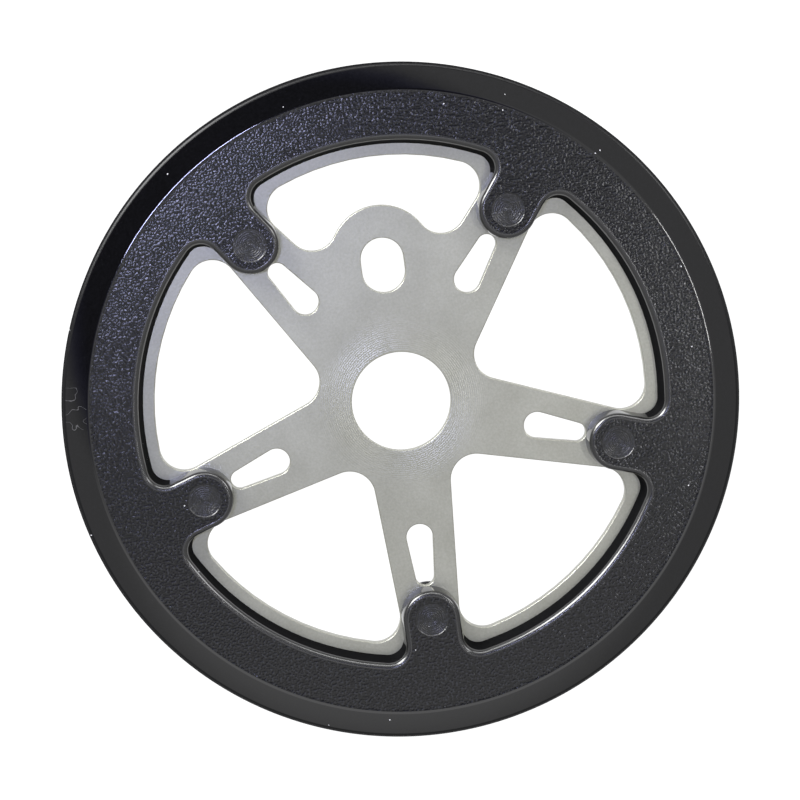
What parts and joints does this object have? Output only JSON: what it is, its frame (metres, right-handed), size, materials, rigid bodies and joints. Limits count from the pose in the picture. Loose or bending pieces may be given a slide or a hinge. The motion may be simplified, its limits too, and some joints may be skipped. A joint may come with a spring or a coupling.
{
  "type": "chainring",
  "caption": "Stamped steel bicycle chainring with slotted spokes, an oblong drive pin hole and a black moulded chain guard ring in front of its teeth.",
  "frame": {"origin": "on the crank axis, halfway through the steel plate", "axes": "+Z out of the guard side, away from the bicycle; +Y from the crank axis through the drive pin hole"},
  "size_m": [0.164, 0.164, 0.013],
  "materials": {
    "painted_steel": "satin light grey paint",
    "guard_plastic": "fine grained face with smooth bevel",
    "screw_steel": "zinc plated",
    "washer_steel": "black"
  },
  "bodies": {
    "root": {"chainring": "painted_steel", "chain_guard": "guard_plastic", "guard_screw_1": "screw_steel", "guard_screw_2": "screw_steel", "guard_screw_3": "screw_steel", "guard_screw_4": "screw_steel", "guard_screw_5": "screw_steel", "guard_washer_1": "washer_steel", "guard_washer_2": "washer_steel", "guard_washer_3": "washer_steel", "guard_washer_4": "washer_steel", "guard_washer_5": "washer_steel"}
  },
  "joints": []
}
